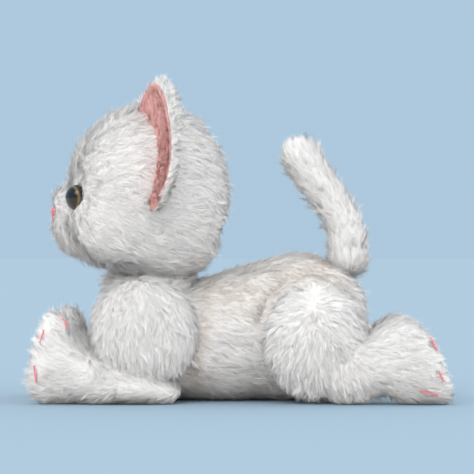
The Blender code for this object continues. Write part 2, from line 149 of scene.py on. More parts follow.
def cloth_material(name, colour, scale=900.0, bump=0.4):
    """The knitted backing or the dense base of a pile."""
    made, nodes, links, shader = new_material(name)
    grain = nodes.new("ShaderNodeTexNoise")
    grain.inputs["Scale"].default_value = scale
    grain.inputs["Detail"].default_value = 4.0
    ramp = nodes.new("ShaderNodeValToRGB")
    dark = [c * 0.78 for c in colour]
    ramp.color_ramp.elements[0].color = (*dark, 1)
    ramp.color_ramp.elements[0].position = 0.3
    ramp.color_ramp.elements[1].color = (*colour, 1)
    ramp.color_ramp.elements[1].position = 0.7
    relief = nodes.new("ShaderNodeBump")
    relief.inputs["Strength"].default_value = bump
    relief.inputs["Distance"].default_value = 0.0008
    links.new(grain.outputs["Fac"], ramp.inputs["Fac"])
    links.new(ramp.outputs["Color"], shader.inputs["Base Color"])
    links.new(grain.outputs["Fac"], relief.inputs["Height"])
    links.new(relief.outputs["Normal"], shader.inputs["Normal"])
    shader.inputs["Roughness"].default_value = 0.95
    shader.inputs["Specular IOR Level"].default_value = 0.2
    return made


def thread_material():
    """Pink embroidery thread, with the twist of its strands."""
    made, nodes, links, shader = new_material("embroidery")
    wave = nodes.new("ShaderNodeTexWave")
    wave.inputs["Scale"].default_value = 700.0
    wave.inputs["Distortion"].default_value = 2.0
    ramp = nodes.new("ShaderNodeValToRGB")
    ramp.color_ramp.elements[0].color = (0.62, 0.10, 0.14, 1)
    ramp.color_ramp.elements[1].color = (0.86, 0.26, 0.30, 1)
    relief = nodes.new("ShaderNodeBump")
    relief.inputs["Strength"].default_value = 0.5
    relief.inputs["Distance"].default_value = 0.0004
    links.new(wave.outputs["Fac"], ramp.inputs["Fac"])
    links.new(ramp.outputs["Color"], shader.inputs["Base Color"])
    links.new(wave.outputs["Fac"], relief.inputs["Height"])
    links.new(relief.outputs["Normal"], shader.inputs["Normal"])
    shader.inputs["Roughness"].default_value = 0.5
    shader.inputs["Sheen Weight"].default_value = 0.3
    return made


def eye_material(radius):
    """A moulded eye: a wide black pupil, an amber iris and a dark rim, under a clear gloss."""
    made, nodes, links, shader = new_material("moulded_eye_gloss")
    place = nodes.new("ShaderNodeTexCoord")
    flat = nodes.new("ShaderNodeVectorMath")
    flat.operation = "MULTIPLY"
    flat.inputs[1].default_value = (1, 1, 0)
    size = nodes.new("ShaderNodeVectorMath")
    size.operation = "LENGTH"
    share = nodes.new("ShaderNodeMath")
    share.operation = "DIVIDE"
    share.inputs[1].default_value = radius * MM
    ramp = nodes.new("ShaderNodeValToRGB")
    stops = ramp.color_ramp.elements
    stops[0].position = 0.0
    stops[0].color = (0.004, 0.003, 0.003, 1)
    stops[1].position = 1.0
    stops[1].color = (0.012, 0.008, 0.005, 1)
    for position, colour in (
        (0.80, (0.004, 0.003, 0.003, 1)),
        (0.84, (0.05, 0.03, 0.008, 1)),
        (0.90, (0.17, 0.11, 0.03, 1)),
        (0.95, (0.08, 0.055, 0.018, 1)),
        (0.98, (0.008, 0.006, 0.004, 1)),
    ):
        stops.new(position).color = colour
    streak = nodes.new("ShaderNodeTexNoise")
    streak.inputs["Scale"].default_value = 1400.0
    jitter = nodes.new("ShaderNodeMath")
    jitter.operation = "MULTIPLY_ADD"
    jitter.inputs[1].default_value = 0.05
    links.new(place.outputs["Object"], flat.inputs[0])
    links.new(flat.outputs["Vector"], size.inputs[0])
    links.new(size.outputs["Value"], share.inputs[0])
    links.new(streak.outputs["Fac"], jitter.inputs[0])
    links.new(share.outputs["Value"], jitter.inputs[2])
    links.new(jitter.outputs["Value"], ramp.inputs["Fac"])
    links.new(ramp.outputs["Color"], shader.inputs["Base Color"])
    shader.inputs["Roughness"].default_value = 0.06
    shader.inputs["Specular IOR Level"].default_value = 0.5
    shader.inputs["Coat Weight"].default_value = 0.3
    shader.inputs["Coat Roughness"].default_value = 0.03
    return made


# ---- Forms ----


def add_ball(bm, centre, radii, tilt=0.0):
    """An ellipsoid, tilted about Y by an angle in degrees."""
    made = bmesh.ops.create_uvsphere(bm, u_segments=32, v_segments=18, radius=1.0)
    verts = made["verts"]
    bmesh.ops.scale(bm, vec=radii, verts=verts)
    turn = Matrix.Rotation(math.radians(tilt), 4, "Y")
    bmesh.ops.transform(bm, matrix=Matrix.Translation(centre) @ turn, verts=verts)


def smooth_path(points, count):
    """Catmull-Rom values between rows of numbers, by count steps a span."""
    rows = np.array(points, float)
    rows = np.vstack([2 * rows[0] - rows[1], rows, 2 * rows[-1] - rows[-2]])
    out = []
    for i in range(1, len(rows) - 2):
        a, b, c, d = rows[i - 1], rows[i], rows[i + 1], rows[i + 2]
        for k in range(count):
            t = k / count
            out.append(
                0.5 * (2 * b + (c - a) * t + (2 * a - 5 * b + 4 * c - d) * t**2
                       + (3 * b - a - 3 * c + d) * t**3)
            )
    out.append(rows[-2])
    return np.array(out)


def add_tube(bm, rows, upright=True, around=28, steps=5):
    """A soft tube through rows of (x, y, z, half width, half height), with rounded ends."""
    path = smooth_path(rows, steps)
    rings = []
    for i, row in enumerate(path[1:-1], 1):
        centre = Vector(row[:3])
        along = Vector(path[i + 1][:3] - path[i - 1][:3]).normalized()
        up = Vector((0, 0, 1)) if upright else Vector((0, 1, 0)).cross(along).normalized()
        wide = max(row[3], 0.4)
        high = max(row[4], 0.4)
        ring = []
        for k in range(around):
            angle = 2 * math.pi * k / around
            offset = Vector((0, 1, 0)) * wide * math.cos(angle) + up * high * math.sin(angle)
            ring.append(bm.verts.new(centre + offset))
        rings.append(ring)
    first = bm.verts.new(path[0][:3])
    last = bm.verts.new(path[-1][:3])
    for k in range(around):
        n = (k + 1) % around
        bm.faces.new((first, rings[0][n], rings[0][k]))
        bm.faces.new((last, rings[-1][k], rings[-1][n]))
        for a, b in zip(rings, rings[1:]):
            bm.faces.new((a[k], a[n], b[n], b[k]))


def rows_along_x(stations, y):
    """Rows for a tube that runs along X, from (x, lowest, highest, half width)."""
    return [(x, y, (low + high) / 2, wide, (high - low) / 2) for x, low, high, wide in stations]


def object_from(bm, name):
    """An object from a bmesh in millimetres."""
    bmesh.ops.recalc_face_normals(bm, faces=bm.faces)
    bmesh.ops.scale(bm, vec=(MM, MM, MM), verts=bm.verts)
    mesh = bpy.data.meshes.new(name)
    bm.to_mesh(mesh)
    bm.free()
    obj = bpy.data.objects.new(name, mesh)
    bpy.context.scene.collection.objects.link(obj)
    return obj


def settle(obj):
    """Replaces an object's mesh by what its modifiers give."""
    depsgraph = bpy.context.evaluated_depsgraph_get()
    mesh = bpy.data.meshes.new_from_object(obj.evaluated_get(depsgraph))
    obj.modifiers.clear()
    obj.data = mesh
    mesh.shade_smooth()
    return obj


def skin(name, bm, voxel=2.0, smoothing=6):
    """One closed soft skin round the forms in a bmesh."""
    obj = object_from(bm, name)
    remesh = obj.modifiers.new("join", "REMESH")
    remesh.mode = "VOXEL"
    remesh.voxel_size = voxel * MM
    smooth = obj.modifiers.new("smooth", "SMOOTH")
    smooth.factor = 0.6
    smooth.iterations = smoothing
    return settle(obj)


def tufted(obj, depth, size, seed):
    """Makes a skin uneven, as stuffed cloth is."""
    mesh = obj.data
    points, normals = vertex_arrays(mesh)
    wave = lumps(points, size, seed)
    points = points + normals * (wave * depth)[:, None]
    mesh.vertices.foreach_set("co", (points * MM).astype(np.float32).ravel())
    mesh.update()
    return obj


def lumps(points, size, seed):
    """A smooth value between -1 and 1 that varies over about size millimetres."""
    rng = np.random.default_rng(seed)
    value = np.zeros(len(points))
    waves = 14
    for _ in range(waves):
        direction = rng.normal(size=3)
        direction /= np.linalg.norm(direction)
        rate = 2 * math.pi / (size * rng.uniform(0.7, 1.6))
        value += np.sin(points @ direction * rate + rng.uniform(0, 2 * math.pi))
    return value / math.sqrt(waves)


def vertex_arrays(mesh):
    """A mesh's points, in millimetres, and its normals."""
    points = np.zeros(len(mesh.vertices) * 3, np.float32)
    mesh.vertices.foreach_get("co", points)
    normals = np.zeros(len(mesh.vertices) * 3, np.float32)
    mesh.vertex_normals.foreach_get("vector", normals)
    return points.reshape(-1, 3).astype(float) / MM, normals.reshape(-1, 3).astype(float)


def mirror_mesh(source, name):
    """The other side's copy of a piece."""
    bm = bmesh.new()
    bm.from_mesh(source.data)
    bmesh.ops.scale(bm, vec=(1, -1, 1), verts=bm.verts)
    bmesh.ops.reverse_faces(bm, faces=bm.faces)
    mesh = bpy.data.meshes.new(name)
    bm.to_mesh(mesh)
    bm.free()
    for material in source.data.materials:
        mesh.materials.append(material)
    obj = bpy.data.objects.new(name, mesh)
    bpy.context.scene.collection.objects.link(obj)
    mesh.shade_smooth()
    return obj


# ---- Hair ----


def unit(v):
    """Rows of unit length."""
    return v / np.maximum(np.linalg.norm(v, axis=1, keepdims=True), 1e-9)


def scatter(mesh, count, rng):
    """Points spread evenly over a mesh, in millimetres, with their normals."""
    points, normals = vertex_arrays(mesh)
    mesh.calc_loop_triangles()
    corners = np.zeros(len(mesh.loop_triangles) * 3, np.int32)
    mesh.loop_triangles.foreach_get("vertices", corners)
    corners = corners.reshape(-1, 3)
    a, b, c = (points[corners[:, i]] for i in range(3))
    area = np.linalg.norm(np.cross(b - a, c - a), axis=1) / 2
    chosen = rng.choice(len(corners), count, p=area / area.sum())
    u = rng.random(count)
    v = rng.random(count)
    over = u + v > 1
    u[over] = 1 - u[over]
    v[over] = 1 - v[over]
    w = 1 - u - v
    t = corners[chosen]
    w, u, v = (share[:, None] for share in (w, u, v))
    place = points[t[:, 0]] * w + points[t[:, 1]] * u + points[t[:, 2]] * v
    facing = normals[t[:, 0]] * w + normals[t[:, 1]] * u + normals[t[:, 2]] * v
    return place, unit(facing), area.sum()


def owners(points, centres):
    """The index of the centre nearest to each point."""
    tree = KDTree(len(centres))
    for i, c in enumerate(centres):
        tree.insert(c, i)
    tree.balance()
    return np.array([tree.find(p)[1] for p in points])


def fur(name, base, look, density, length, flow, lift=0.24, width=0.42, lock=2.0, gather=0.30,
        seed=1, mask=None, tips=WHITE_TIP, shaded_roots_colour=WARM_SHADED_ROOT, shade=None, floor=0.4, clear=(),
        lean=0.25):
    """Hair over a skin: flat tapering strands that gather into locks.

    density is strands to a square millimetre, lift how far they stand up, lock the width of a lock,
    flow the way they are combed, and shade where they get painted shade, mixed towards brown, and are
    shorter: near a seam, in folds and dimples, and over the back.
    """
    rng = np.random.default_rng(seed)
    _, _, area = scatter(base.data, 10, rng)
    points, normals, _ = scatter(base.data, int(area * density), rng)
    if mask is not None:
        kept = mask(points, normals)
        points, normals = points[kept], normals[kept]
    count = len(points)
    comb = flow(points, normals)
    comb = unit(comb - normals * np.sum(comb * normals, axis=1, keepdims=True))
    lock_count = max(8, int(count / density / lock**2))
    chosen = rng.choice(count, lock_count, replace=False)
    owner = owners(points, points[chosen])
    centre = points[chosen][owner]
    # Each lock leans and stands its own way, with its own length.
    sway = rng.normal(size=(lock_count, 3)) * 0.26
    out = normals[chosen]
    sway = sway - out * np.sum(sway * out, axis=1, keepdims=True) * 0.7
    stand = np.clip(lift + rng.normal(size=lock_count) * 0.08, 0.08, 1.0)
    reach = length * np.clip(1 + rng.normal(size=lock_count) * 0.16, 0.55, 1.4)
    long = reach[owner] * rng.uniform(0.78, 1.08, count)
    # Where shade() gives painted shade, the strands are also shorter.
    if shade is not None:
        painted_shade = shade(points)
        long = long * (1 - 0.35 * painted_shade)
    up = stand[owner][:, None]
    ahead = unit(normals * up + comb * (1 - up * 0.6) + sway[owner]
                 + rng.normal(size=(count, 3)) * 0.12)
    tip = points + ahead * long[:, None]
    lock_normal = normals[chosen][owner]
    lock_ahead = unit(lock_normal * up + comb[chosen][owner] * (1 - up * 0.6) + sway[owner])
    lock_tip = centre + lock_ahead * (long * 0.98)[:, None]
    tip = tip + (lock_tip - tip) * gather
    tip[:, 2] = np.maximum(tip[:, 2], floor)
    if len(clear):
        kept = np.ones(count, bool)
        for spot, radius in clear:
            for share in (0.4, 0.7, 1.0):
                place = points + (tip - points) * share
                kept &= np.linalg.norm(place - np.array(spot), axis=1) > radius
        points, normals, tip, owner = (v[kept] for v in (points, normals, tip, owner))
        centre = centre[kept]
        count = len(points)
        if shade is not None:
            painted_shade = painted_shade[kept]
    axis = unit(tip - points)
    across = unit(np.cross(axis, normals))
    beside = np.cross(axis, across)
    half = (width * rng.uniform(0.7, 1.25, count) / 2)[:, None]
    # One flat side of each spike faces out of the coat.
    start = math.radians(210) + rng.uniform(-0.55, 0.55, count)
    corners = []
    for k in range(3):
        angle = (start + k * 2 * math.pi / 3)[:, None]
        corners.append(points + (across * np.cos(angle) + beside * np.sin(angle) * 0.6) * half)
    spikes = np.stack([*corners, tip], axis=1)
    # A lock is shaded as one rounded tuft.
    bulge = (points - centre) / lock
    bulge = bulge - normals * np.sum(bulge * normals, axis=1, keepdims=True)
    soft = unit(normals + bulge * 0.9 + sway[owner] * 0.7 + axis * lean)
    shading = np.repeat(soft[:, None, :], 4, axis=1)
    # Colour: painted shade at the root, where the pile shades itself, with a warm tone; near white at
    # the tip.
    tone = np.clip(rng.normal(size=lock_count) * 0.02, -0.05, 0.05)[owner][:, None]
    low = np.tile(shaded_roots_colour, (count, 1)) + tone
    high = np.tile(tips, (count, 1)) + tone
    # Painted shade: the strands are mixed towards brown where shade() marks creases, folds, dimples and
    # the back.
    if shade is not None:
        amount = painted_shade[:, None]
        low = low * (1 - amount) + SEAM_BROWN_AND_SHADE * amount
        high = high * (1 - amount * 0.5) + SEAM_BROWN_AND_SHADE * amount * 0.5
    root = low * 0.7 + high * 0.3
    colours = np.stack([root, root, root, high], axis=1)
    return strands(name, spikes, shading, np.clip(colours, 0, 1), look)


def strands(name, spikes, shading, colours, look):
    """A mesh of strands, each a three-sided spike, with soft normals, colours and a map."""
    count = len(spikes)
    mesh = bpy.data.meshes.new(name)
    mesh.vertices.add(count * 4)
    mesh.vertices.foreach_set("co", (spikes * MM).astype(np.float32).ravel())
    corners = (np.arange(count) * 4)[:, None] + [[0, 1, 3, 1, 2, 3, 2, 0, 3]]
    mesh.loops.add(count * 9)
    mesh.loops.foreach_set("vertex_index", corners.astype(np.int32).ravel())
    mesh.polygons.add(count * 3)
    mesh.polygons.foreach_set("loop_start", (np.arange(count * 3) * 3).astype(np.int32))
    mesh.polygons.foreach_set("use_smooth", np.ones(count * 3, bool))
    side = int(math.ceil(math.sqrt(count)))
    cell = np.stack([np.arange(count) % side, np.arange(count) // side], axis=1) / side
    spots = np.array([(0.1, 0.1), (0.35, 0.1), (0.5, 0.9), (0.35, 0.1), (0.65, 0.1), (0.5, 0.9),
                      (0.65, 0.1), (0.9, 0.1), (0.5, 0.9)])
    mapped = cell[:, None, :] + spots[None] / side
    layer = mesh.uv_layers.new(name="OFBake")
    layer.data.foreach_set("uv", mapped.astype(np.float32).ravel())
    tint = mesh.color_attributes.new("tint", "FLOAT_COLOR", "POINT")
    rgba = np.ones((count * 4, 4), np.float32)
    rgba[:, :3] = colours.reshape(-1, 3)
    tint.data.foreach_set("color", rgba.ravel())
    mesh.update(calc_edges=True)
    soft = mesh.attributes.new("custom_normal", "FLOAT_VECTOR", "POINT")
    soft.data.foreach_set("vector", shading.astype(np.float32).ravel())
    mesh.update()
    mesh.materials.append(look)
    obj = bpy.data.objects.new(name, mesh)
    obj.visible_shadow = False
    bpy.context.scene.collection.objects.link(obj)
    return obj


def near_line(points, line, reach):
    """How near points are to a line through given points: 1 on it, 0 at reach and beyond."""
    best = np.full(len(points), 1e9)
    for a, b in zip(line, line[1:]):
        a = np.array(a, float)
        b = np.array(b, float)
        share = np.clip((points - a) @ (b - a) / ((b - a) @ (b - a)), 0, 1)
        best = np.minimum(best, np.linalg.norm(points - a - share[:, None] * (b - a), axis=1))
    return np.clip(1 - best / reach, 0, 1)


# ---- The kitten's parts ----


def wear(piece, body, look=None):
    """Rides a piece on its body and gives it its finish."""
    if look is not None:
        piece.data.materials.clear()
        piece.data.materials.append(look)
    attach(piece, body)
    return piece


def toward(target):
    """A comb that runs towards one direction."""
    direction = np.array(target, float)
    return lambda points, normals: np.tile(direction, (len(points), 1))


def head_flow(points, normals):
    """Away from the nose, and down."""
    away = unit(points - np.array(NOSE) + np.array((-6.0, 0, 0)))
    return away + np.array((0.10, 0, -0.30))


def bare_spots():
    """The eyes and the nose, which the hair leaves clear."""
    spots = [(NOSE + Vector((-1, 0, 0)), 4.2)]
    for word in SIDES:
        low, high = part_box("eye_" + word)
        spots.append(((low + high) / 2 / MM, 8.6))
    return spots


def head(cloth, pile):
    """The head with its muzzle."""
    bm = bmesh.new()
    add_ball(bm, (-55.5, 0, 127), (47.5, 54.0, 51.0))
    add_ball(bm, (-52, 0, 102), (39, 45, 31))
    add_ball(bm, (-93, 0, 105), (19.5, 22, 18.5))
    add_ball(bm, (-101, 0, 118.5), (12.5, 15, 11.5))
    add_ball(bm, (-82, 0, 93), (15, 20, 12))
    for side in SIDES.values():
        add_ball(bm, (-72, side * 30, 106), (27, 21, 24))
        add_ball(bm, (-84, side * 18, 108), (20, 17, 17))
    base = skin("head_skin", bm, 2.2, 18)
    tufted(base, 0.5, 16, 3)
    wear(base, "head", cloth)
    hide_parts("head_side_left", "head_side_right", "head_gusset", "head_stuffing",
                "muzzle_cover", "muzzle_stuffing", "eye_washer_left", "eye_washer_right")
    hair = fur("head_fur", base, pile, 1.85, 8.0, head_flow, lift=0.22, seed=11,
               clear=bare_spots())
    wear(hair, "head")
    return base


def torso_flow(points, normals):
    """Back along the body, and down its sides."""
    comb = np.tile(np.array((0.8, 0.0, -0.35)), (len(points), 1))
    comb[:, 1] += points[:, 1] * 0.008
    chest = points[:, 0] < -70
    comb[chest] = (0.0, 0.0, -1.0)
    return comb


THIGH_SEAM = [(12, 0, 50), (18, 0, 65), (29, 0, 75), (42, 0, 79), (54, 0, 76), (64, 0, 70), (74, 0, 65)]
SHOULDER_SEAM = [(-19, 0, 66), (-21, 0, 50), (-24, 0, 30), (-29, 0, 10)]


def torso_shade(points):
    """Painted shade, brown, in the seams over the thighs and behind the shoulders, where the backing
    also shows, and in a lumpy patch over the back.
    """
    flat = points * np.array((1.0, 0.0, 1.0))
    near = np.zeros(len(points))
    for line in (THIGH_SEAM, SHOULDER_SEAM):
        near = np.maximum(near, near_line(flat, line, 7.0))
    near = near * (np.abs(points[:, 1]) > 16)
    # A lumpy patch of painted shade over the back.
    saddle = near_line(flat, [(-14, 0, 66), (0, 0, 62), (18, 0, 70), (50, 0, 80)], 24.0)
    patch = saddle * np.clip(0.75 + lumps(points, 9, 9) * 0.35, 0.1, 1.0)
    return np.maximum(near, patch)


def torso(cloth, pile):
    """The body between the legs."""
    bm = bmesh.new()
    add_tube(bm, rows_along_x([
        (-88, 34, 34, 0), (-84, 10, 58, 19), (-74, 3, 68, 28), (-56, 2, 62, 35), (-26, 2, 71, 41),
        (2, 2, 80, 43), (32, 2, 87, 40), (54, 2, 84, 34), (69, 5, 72, 25), (75, 20, 55, 14),
        (78, 38, 38, 0)], 0))
    base = skin("body_skin", bm, 2.2, 4)
    points, normals = vertex_arrays(base.data)
    crease = near_line(points * np.array((1.0, 0.0, 1.0)), THIGH_SEAM, 7.0) * (np.abs(points[:, 1]) > 14)
    points = points - normals * (crease**2 * 4.5)[:, None]
    base.data.vertices.foreach_set("co", (points * MM).astype(np.float32).ravel())
    tufted(base, 0.7, 22, 5)
    wear(base, "torso", cloth)
    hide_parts("body_side_left", "body_side_right", "belly_panel", "body_stuffing")
    hair = fur("body_fur", base, pile, 1.55, 8.0, torso_flow, lift=0.22, seed=12, shade=torso_shade)
    wear(hair, "torso")


def neck(cloth, pile):
    """The neck between head and body."""
    bm = bmesh.new()
    add_ball(bm, NECK, (27, 30, 14))
    base = skin("neck_skin", bm, 2.0, 2)
    wear(base, "neck", cloth)
    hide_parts("neck_tube", "neck_stuffing")
    hair = fur("neck_fur", base, pile, 1.2, 8.0, toward((0, 0, -1)), lift=0.6, seed=13)
    wear(hair, "neck")


def foreleg_flow(points, normals):
    """Down the shoulder, then forward along the forearm and up over the paw."""
    comb = np.tile(np.array((0.15, 0.0, -1.0)), (len(points), 1))
    arm = np.clip((22 - points[:, 2]) / 10, 0, 1) + (points[:, 0] < -88)
    arm = np.clip(arm, 0, 1)[:, None]
    forward = np.tile(np.array((-1.0, 0.0, 0.10)), (len(points), 1))
    comb = comb * (1 - arm) + forward * arm
    paw = np.clip((-100 - points[:, 0]) / 8, 0, 1)[:, None] * np.clip(points[:, 2] / 30, 0, 1)[:, None]
    return comb * (1 - paw) + np.array((-0.55, 0.0, 0.75)) * paw


def foreleg_shade(points):
    """A line of painted shade in the fold where the forearm lies against the shoulder."""
    fold = [(-90, -60, 36), (-80, -62, 27), (-68, -63, 20), (-50, -62, 15), (-34, -58, 12)]
    return near_line(points, fold, 5.0) * 0.5


def foreleg():
    """The left foreleg: shoulder, forearm and a paw that turns up."""
    bm = bmesh.new()
    y = LEFT * LEG_MIDDLE
    add_ball(bm, (-55.5, LEFT * 42.5, 42), (31.5, 17.5, 32.5))
    add_tube(bm, rows_along_x([
        (-32, 6, 6, 0), (-40, 1.5, 12, 8), (-58, 1.5, 17, 14), (-78, 1.5, 24, 14.5),
        (-89, 1.5, 31, 14), (-97, 1.5, 41, 14.5), (-101, 1.5, 48.5, 15), (-107, 1.5, 52.5, 15),
        (-114, 2, 47, 13.5),
        (-119.5, 6, 31, 9), (-121, 17, 17, 0)], y))
    base = skin("foreleg_skin_left", bm, 1.8, 3)
    return tufted(base, 0.5, 18, 7)


def hind_leg_flow(points, normals):
    """Round the dimple on the thigh, then back along the shank and over the foot."""
    away = unit(points - np.array(HIP_DIMPLE)) * np.array((1.0, 0.0, 1.0))
    comb = away * 0.8 + np.array((0.0, 0.0, -0.55))
    back = np.clip((points[:, 0] - 68) / 12, 0, 1)[:, None]
    return comb * (1 - back) + np.array((1.0, 0.0, -0.12)) * back


def hind_leg_shade(points):
    """Painted shade in the dimple and in the fold behind the thigh."""
    dimple = near_line(points, [(45, -62, 50), (46, -62, 52)], 7.0) * 0.45
    fold = near_line(points, [(76, -60, 44), (71, -62, 28), (62, -62, 18), (54, -60, 12)], 6.0) * 0.5
    return np.maximum(dimple, fold)


def hind_leg():
    """The left hind leg: thigh, shank and a foot that turns up."""
    bm = bmesh.new()
    y = LEFT * LEG_MIDDLE
    add_ball(bm, (45.5, LEFT * 42, 36.5), (28.5, 18.5, 33))
    add_tube(bm, rows_along_x([
        (48, 16, 16, 0), (56, 3, 30, 10), (67, 2.5, 32, 13), (78, 4.5, 40, 13.5), (88, 6, 46, 14),
        (98, 2.5, 48, 15), (108, 1.5, 43, 14.5), (116, 1.5, 33, 13), (121.5, 2, 18, 9),
        (123.5, 8, 8, 0)], y))
    base = skin("hind_leg_skin_left", bm, 1.8, 3)
    points, normals = vertex_arrays(base.data)
    sink = np.exp(-(np.linalg.norm(points - np.array(HIP_DIMPLE) - (0, 2, 0), axis=1) / 6.0) ** 2)
    points = points - normals * (sink * 4.0)[:, None]
    base.data.vertices.foreach_set("co", (points * MM).astype(np.float32).ravel())
    return tufted(base, 0.5, 18, 8)


def limbs(cloth, pile, thread):
    """Both forelegs and both hind legs."""
    kinds = (
        ("foreleg", foreleg, foreleg_flow, foreleg_shade, 21, 7.5),
        ("hind_leg", hind_leg, hind_leg_flow, hind_leg_shade, 31, 7.5),
    )
    for kind, make, flow, shade, seed, length in kinds:
        left = make()
        toes = toe_lines(left, kind)
        bare = [(p, 1.5) for line in toes for p in line]
        hair = fur(f"{kind}_fur_left", left, pile, 3.4, length, flow, lift=0.22, seed=seed,
                   shade=shade, clear=bare)
        for word in SIDES:
            base = left if word == "left" else mirror_mesh(left, f"{kind}_skin_right")
            coat = hair if word == "left" else mirror_strands(hair, f"{kind}_fur_right")
            body = f"{kind}_{word}"
            wear(base, body, cloth)
            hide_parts(f"{kind}_cover_{word}", f"{kind}_stuffing_{word}")
            wear(coat, body)
            toe_stitches(kind, word, toes, thread)


def mirror_strands(source, name):
    """The other side's copy of a coat of hair."""
    mesh = source.data.copy()
    mesh.name = name
    for attribute in ("position", "custom_normal"):
        data = mesh.attributes[attribute].data
        values = np.zeros(len(mesh.vertices) * 3, np.float32)
        data.foreach_get("vector", values)
        values = values.reshape(-1, 4, 3)[:, [1, 0, 2, 3]]
        values[:, :, 1] *= -1
        data.foreach_set("vector", values.ravel())
    mesh.update()
    obj = bpy.data.objects.new(name, mesh)
    bpy.context.scene.collection.objects.link(obj)
    return obj


TAIL_ROWS = [
    (66, 0, 76, 5, 5), (66, 0, 82, 10.2, 10.2), (65.5, 0, 92, 10.4, 10.4), (64, 0, 104, 10, 10),
    (59, 0, 115, 9.6, 9.6), (51.5, 0, 126, 9.6, 9.6), (44.5, 0, 136, 10.2, 10.2),
    (37.5, 0, 147, 10.2, 10.2), (33.5, 0, 153, 7, 7), (32, 0, 155.5, 0, 0)]


def tail_flow(points, normals):
    """Along the tail, from its root to its tip."""
    path = smooth_path(TAIL_ROWS, 4)[:, :3]
    along = unit(np.gradient(path, axis=0))
    return along[owners(points, path)]


def tail(cloth, pile):
    """The raised tail."""
    bm = bmesh.new()
    add_tube(bm, TAIL_ROWS, upright=False)
    base = skin("tail_skin", bm, 1.6, 3)
    wear(base, "tail", cloth)
    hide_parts("tail_cover", "tail_stuffing")
    # The tail's tips are whiter than the rest of the coat: painted light, for the light the raised tail
    # catches.
    hair = fur("tail_fur", base, pile, 3.8, 7.5, tail_flow, lift=0.24, seed=41,
               tips=np.array((0.96, 0.96, 0.965)))
    wear(hair, "tail")


# ---- Ears ----


def ear_frame():
    """The left ear's middle of its root, and its axes: along the root, up, out of the lining."""
    middle = (EAR_TOP_ROOT + EAR_LOW_ROOT) / 2
    along = (EAR_TOP_ROOT - EAR_LOW_ROOT).normalized()
    up = EAR_TIP - middle
    up = (up - along * up.dot(along)).normalized()
    face = along.cross(up).normalized()
    if face.x > 0:
        face = -face
    turn = Matrix.Rotation(math.radians(EAR_FOLD), 3, along)
    if (turn @ up).x < up.x:
        turn.transpose()
    return middle, along, turn @ up, turn @ face


def ear_sheet(name, near, far, reach):
    """One cupped layer of the left ear, between two depths, out to a share of the ear's height."""
    middle, along, up, face = ear_frame()
    flat = []
    for point in (EAR_LOW_ROOT, EAR_TIP, EAR_TOP_ROOT):
        off = point - middle
        flat.append((off.dot(along), off.dot(up)))
    low, tip, top = (np.array(p) for p in flat)
    columns = 26
    rows = 18
    bm = bmesh.new()
    layers = []
    for depth in (near, far):
        grid = []
        for i in range(columns + 1):
            u = i / columns
            # The outline runs from the low root over a rounded tip to the top root.
            bow = math.sin(math.pi * u)
            blend = (1 - math.cos(math.pi * u)) / 2
            edge = low * (1 - blend) + top * blend
            edge = edge + (tip - (low + top) / 2) * np.array((bow * 0.7, bow**0.5)) * EAR_REACH
            root = low * (1 - u) + top * u + np.array((0, -12.0))
            line = []
            for j in range(rows + 1):
                v = j / rows * reach
                s, t = root * (1 - v) + edge * v
                deepen = 0.35 + 0.65 * math.sin(math.pi * min(v, 0.9) * 0.9)
                cup = 3.0 * (1 - (2 * u - 1) ** 2) * deepen
                roll = 3.0 * max(0.0, v - 0.8) / 0.2
                place = middle + along * s + up * t + face * (depth - cup + roll)
                line.append(bm.verts.new(place))
            grid.append(line)
        layers.append(grid)
    back, front = layers
    for grid, flip in ((back, False), (front, True)):
        for i in range(columns):
            for j in range(rows):
                quad = [grid[i][j], grid[i + 1][j], grid[i + 1][j + 1], grid[i][j + 1]]
                bm.faces.new(quad[::-1] if flip else quad)
    rim = [(i, 0) for i in range(columns)] + [(columns, j) for j in range(rows)]
    rim += [(i, rows) for i in range(columns, 0, -1)] + [(0, j) for j in range(rows, 0, -1)]
    for k, (i, j) in enumerate(rim):
        m, n = rim[(k + 1) % len(rim)]
        bm.faces.new((back[i][j], front[i][j], front[m][n], back[m][n]))
    obj = object_from(bm, name)
    obj.data.shade_smooth()
    return obj


def off_head(points):
    """Which points lie outside the head."""
    return np.linalg.norm((points - np.array(HEAD)) / HEAD_HALVES, axis=1) > 0.97


def ears(cloth, pile, pink_cloth, pink_pile):
    """Both ears: a white back, a pink lining, and white tufts round the rim."""
    middle, _, up, face = ear_frame()
    out = np.array(face)
    back = ear_sheet("ear_back_skin_left", -2.6, -0.4, 1.0)
    lining = ear_sheet("ear_lining_skin_left", -0.35, 0.9, 0.90)
    pink, _ = vertex_arrays(lining.data)
    rise = np.array(up)

    def outside(points, normals):
        clear = off_head(points)
        nearest = pink[owners(points, pink)]
        bare = np.linalg.norm(points - nearest, axis=1) > 2.2
        return clear & ((normals @ out < 0.35) | bare)

    def inside(points, normals):
        clear = off_head(points)
        return clear & (normals @ out > 0.25)

    def fan(points, normals):
        spread = points - np.array(middle)
        return rise * 0.8 + unit(spread) * 0.6 - out * 0.35

    coat = fur("ear_fur_left", back, pile, 4.0, 6.9, fan, lean=1.0, lift=0.24, seed=51, mask=outside)
    nap = fur("ear_lining_fur_left", lining, pink_pile, 6.0, 4.6, fan, lift=0.32, width=0.40,
              lock=1.6, gather=0.35, seed=52, mask=inside, tips=PINK_TIP, shaded_roots_colour=PINK_SHADED_ROOT)
    for word in SIDES:
        left = word == "left"
        body = "ear_" + word
        a = back if left else mirror_mesh(back, "ear_back_skin_right")
        b = lining if left else mirror_mesh(lining, "ear_lining_skin_right")
        c = coat if left else mirror_strands(coat, "ear_fur_right")
        d = nap if left else mirror_strands(nap, "ear_lining_fur_right")
        wear(a, body, cloth)
        wear(b, body, pink_cloth)
        wear(c, body)
        wear(d, body)
        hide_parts("ear_back_" + word)
        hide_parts("ear_lining_" + word)


# ---- Eyes, nose and stitches ----


